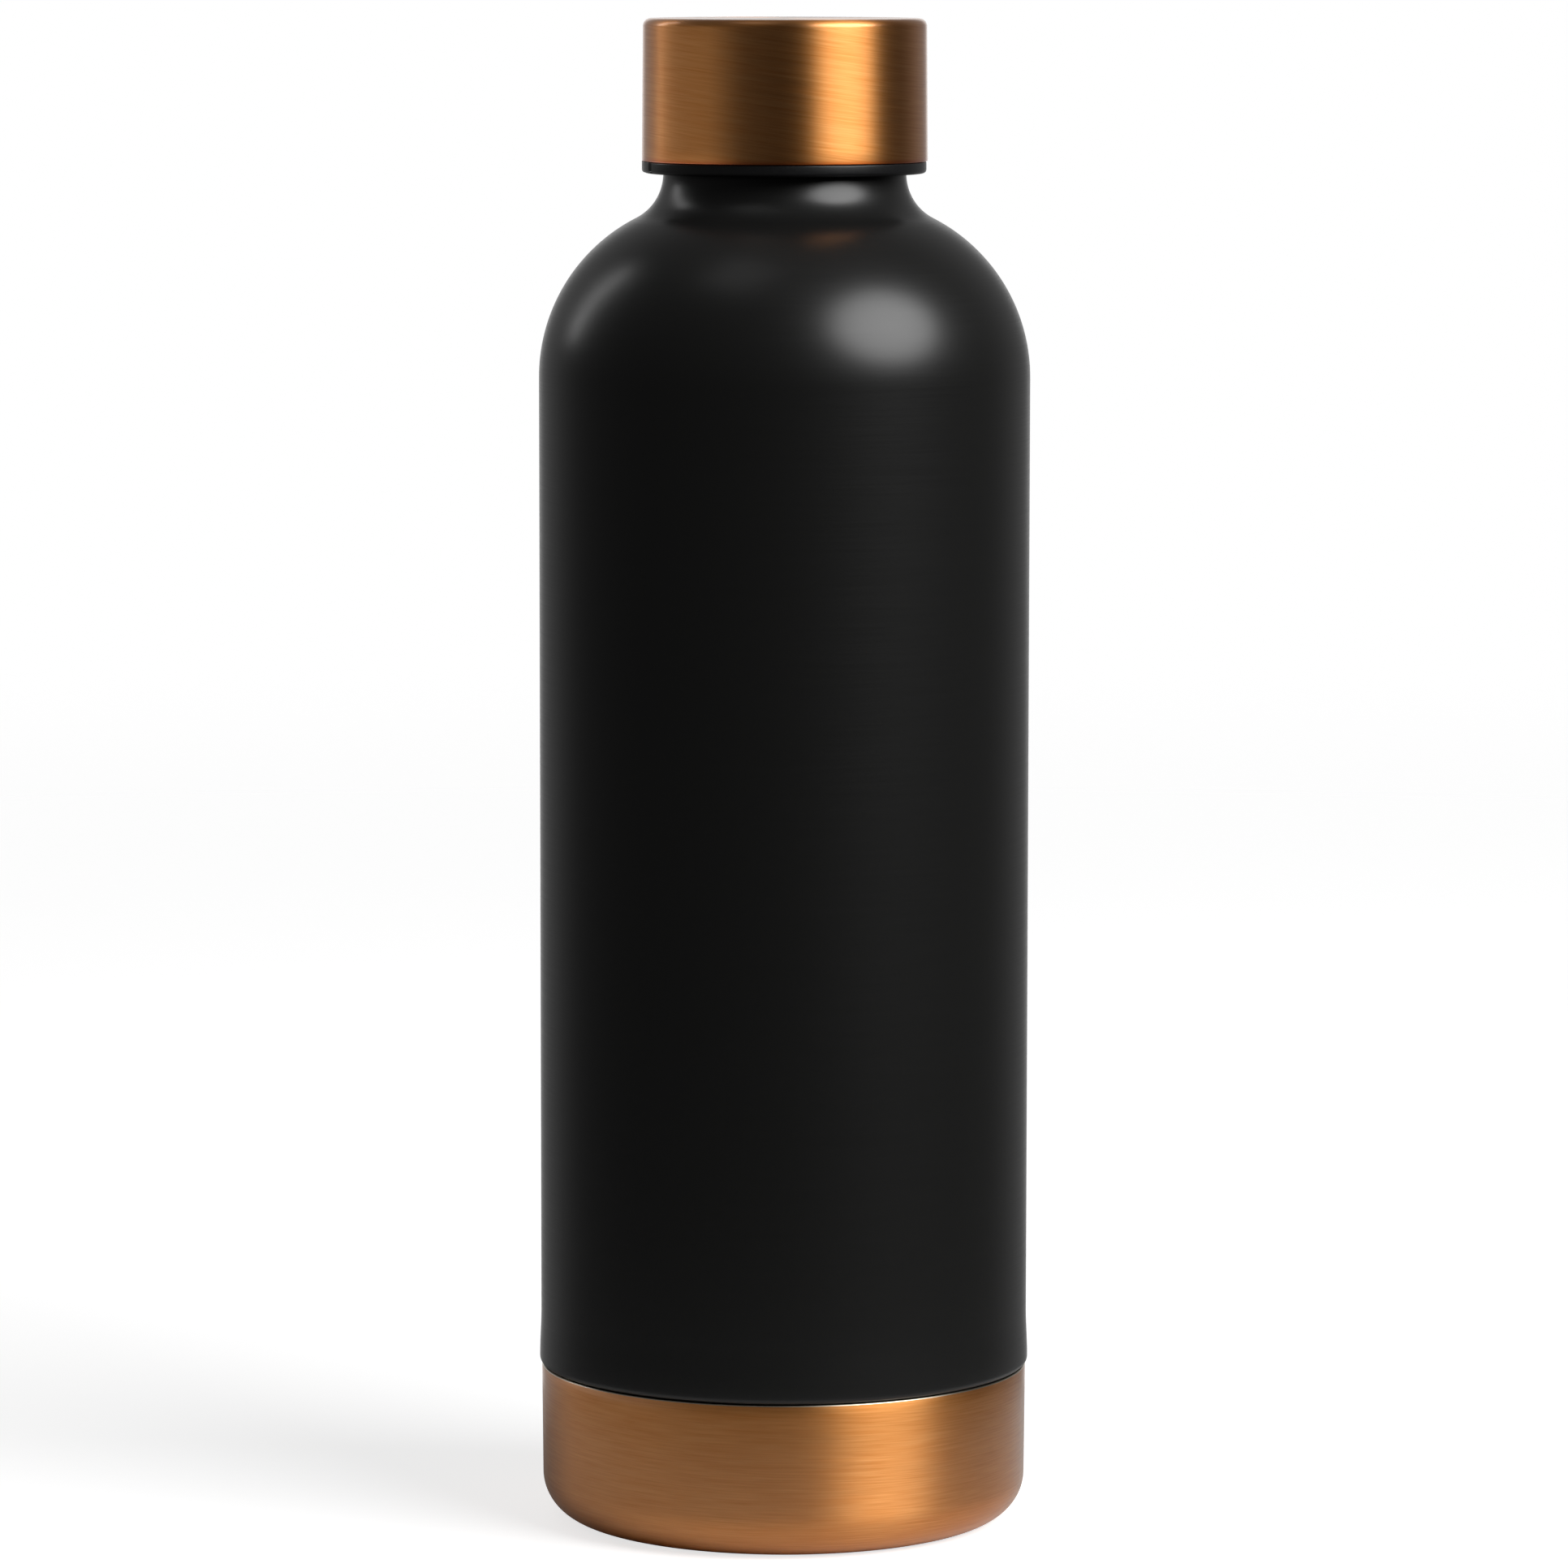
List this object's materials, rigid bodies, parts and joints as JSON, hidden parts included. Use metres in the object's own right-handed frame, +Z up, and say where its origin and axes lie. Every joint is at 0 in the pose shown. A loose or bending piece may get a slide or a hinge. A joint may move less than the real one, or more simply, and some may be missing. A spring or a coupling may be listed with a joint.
{
  "type": "insulated water bottle",
  "caption": "Double-wall steel bottle with a narrow neck, a screw lid in a copper-coloured sleeve and a copper-coloured base cup.",
  "frame": {"origin": "centre of the foot ring, on the surface the bottle stands on", "axes": "+Z up along the bottle's axis, towards the lid; -Y is the front"},
  "size_m": [0.0714, 0.0714, 0.2186],
  "materials": {
    "black_coat": "satin",
    "copper_steel": "brushed",
    "bare_steel": "brushed",
    "black_plastic": "satin",
    "plug_plastic": "satin",
    "silicone": "matte",
    "foam": "matte",
    "adhesive": "satin",
    "solder_glass": "gloss",
    "getter": "matte"
  },
  "bodies": {
    "bottle": {"outer_shell": "black_coat", "shell_bottom": "bare_steel", "sealing_bead": "solder_glass", "getter_clip": "bare_steel", "getter_tablet": "getter", "base_cup": "copper_steel", "base_glue_ring": "adhesive", "inner_flask": "bare_steel", "flask_bottom": "bare_steel"},
    "seal": {"lid_gasket": "silicone"},
    "lid": {"lid_body": "black_plastic", "cap_sleeve": "copper_steel", "sleeve_glue": "adhesive", "lid_plug": "plug_plastic", "lid_foam": "foam"}
  },
  "joints": [
    {"name": "lid_rise", "type": "slide", "parent": "bottle", "child": "seal", "axis": [0, 0, 1], "range_m": [0, 0.02]},
    {"name": "lid_turn", "type": "hinge", "parent": "seal", "child": "lid", "pos_m": [0, 0, 0.2], "axis": [0, 0, 1], "range_deg": [0, 1440]}
  ],
  "couplings": [
    {"joint": "lid_rise", "follows": "lid_turn", "m_per_rad": 0.00079577}
  ]
}
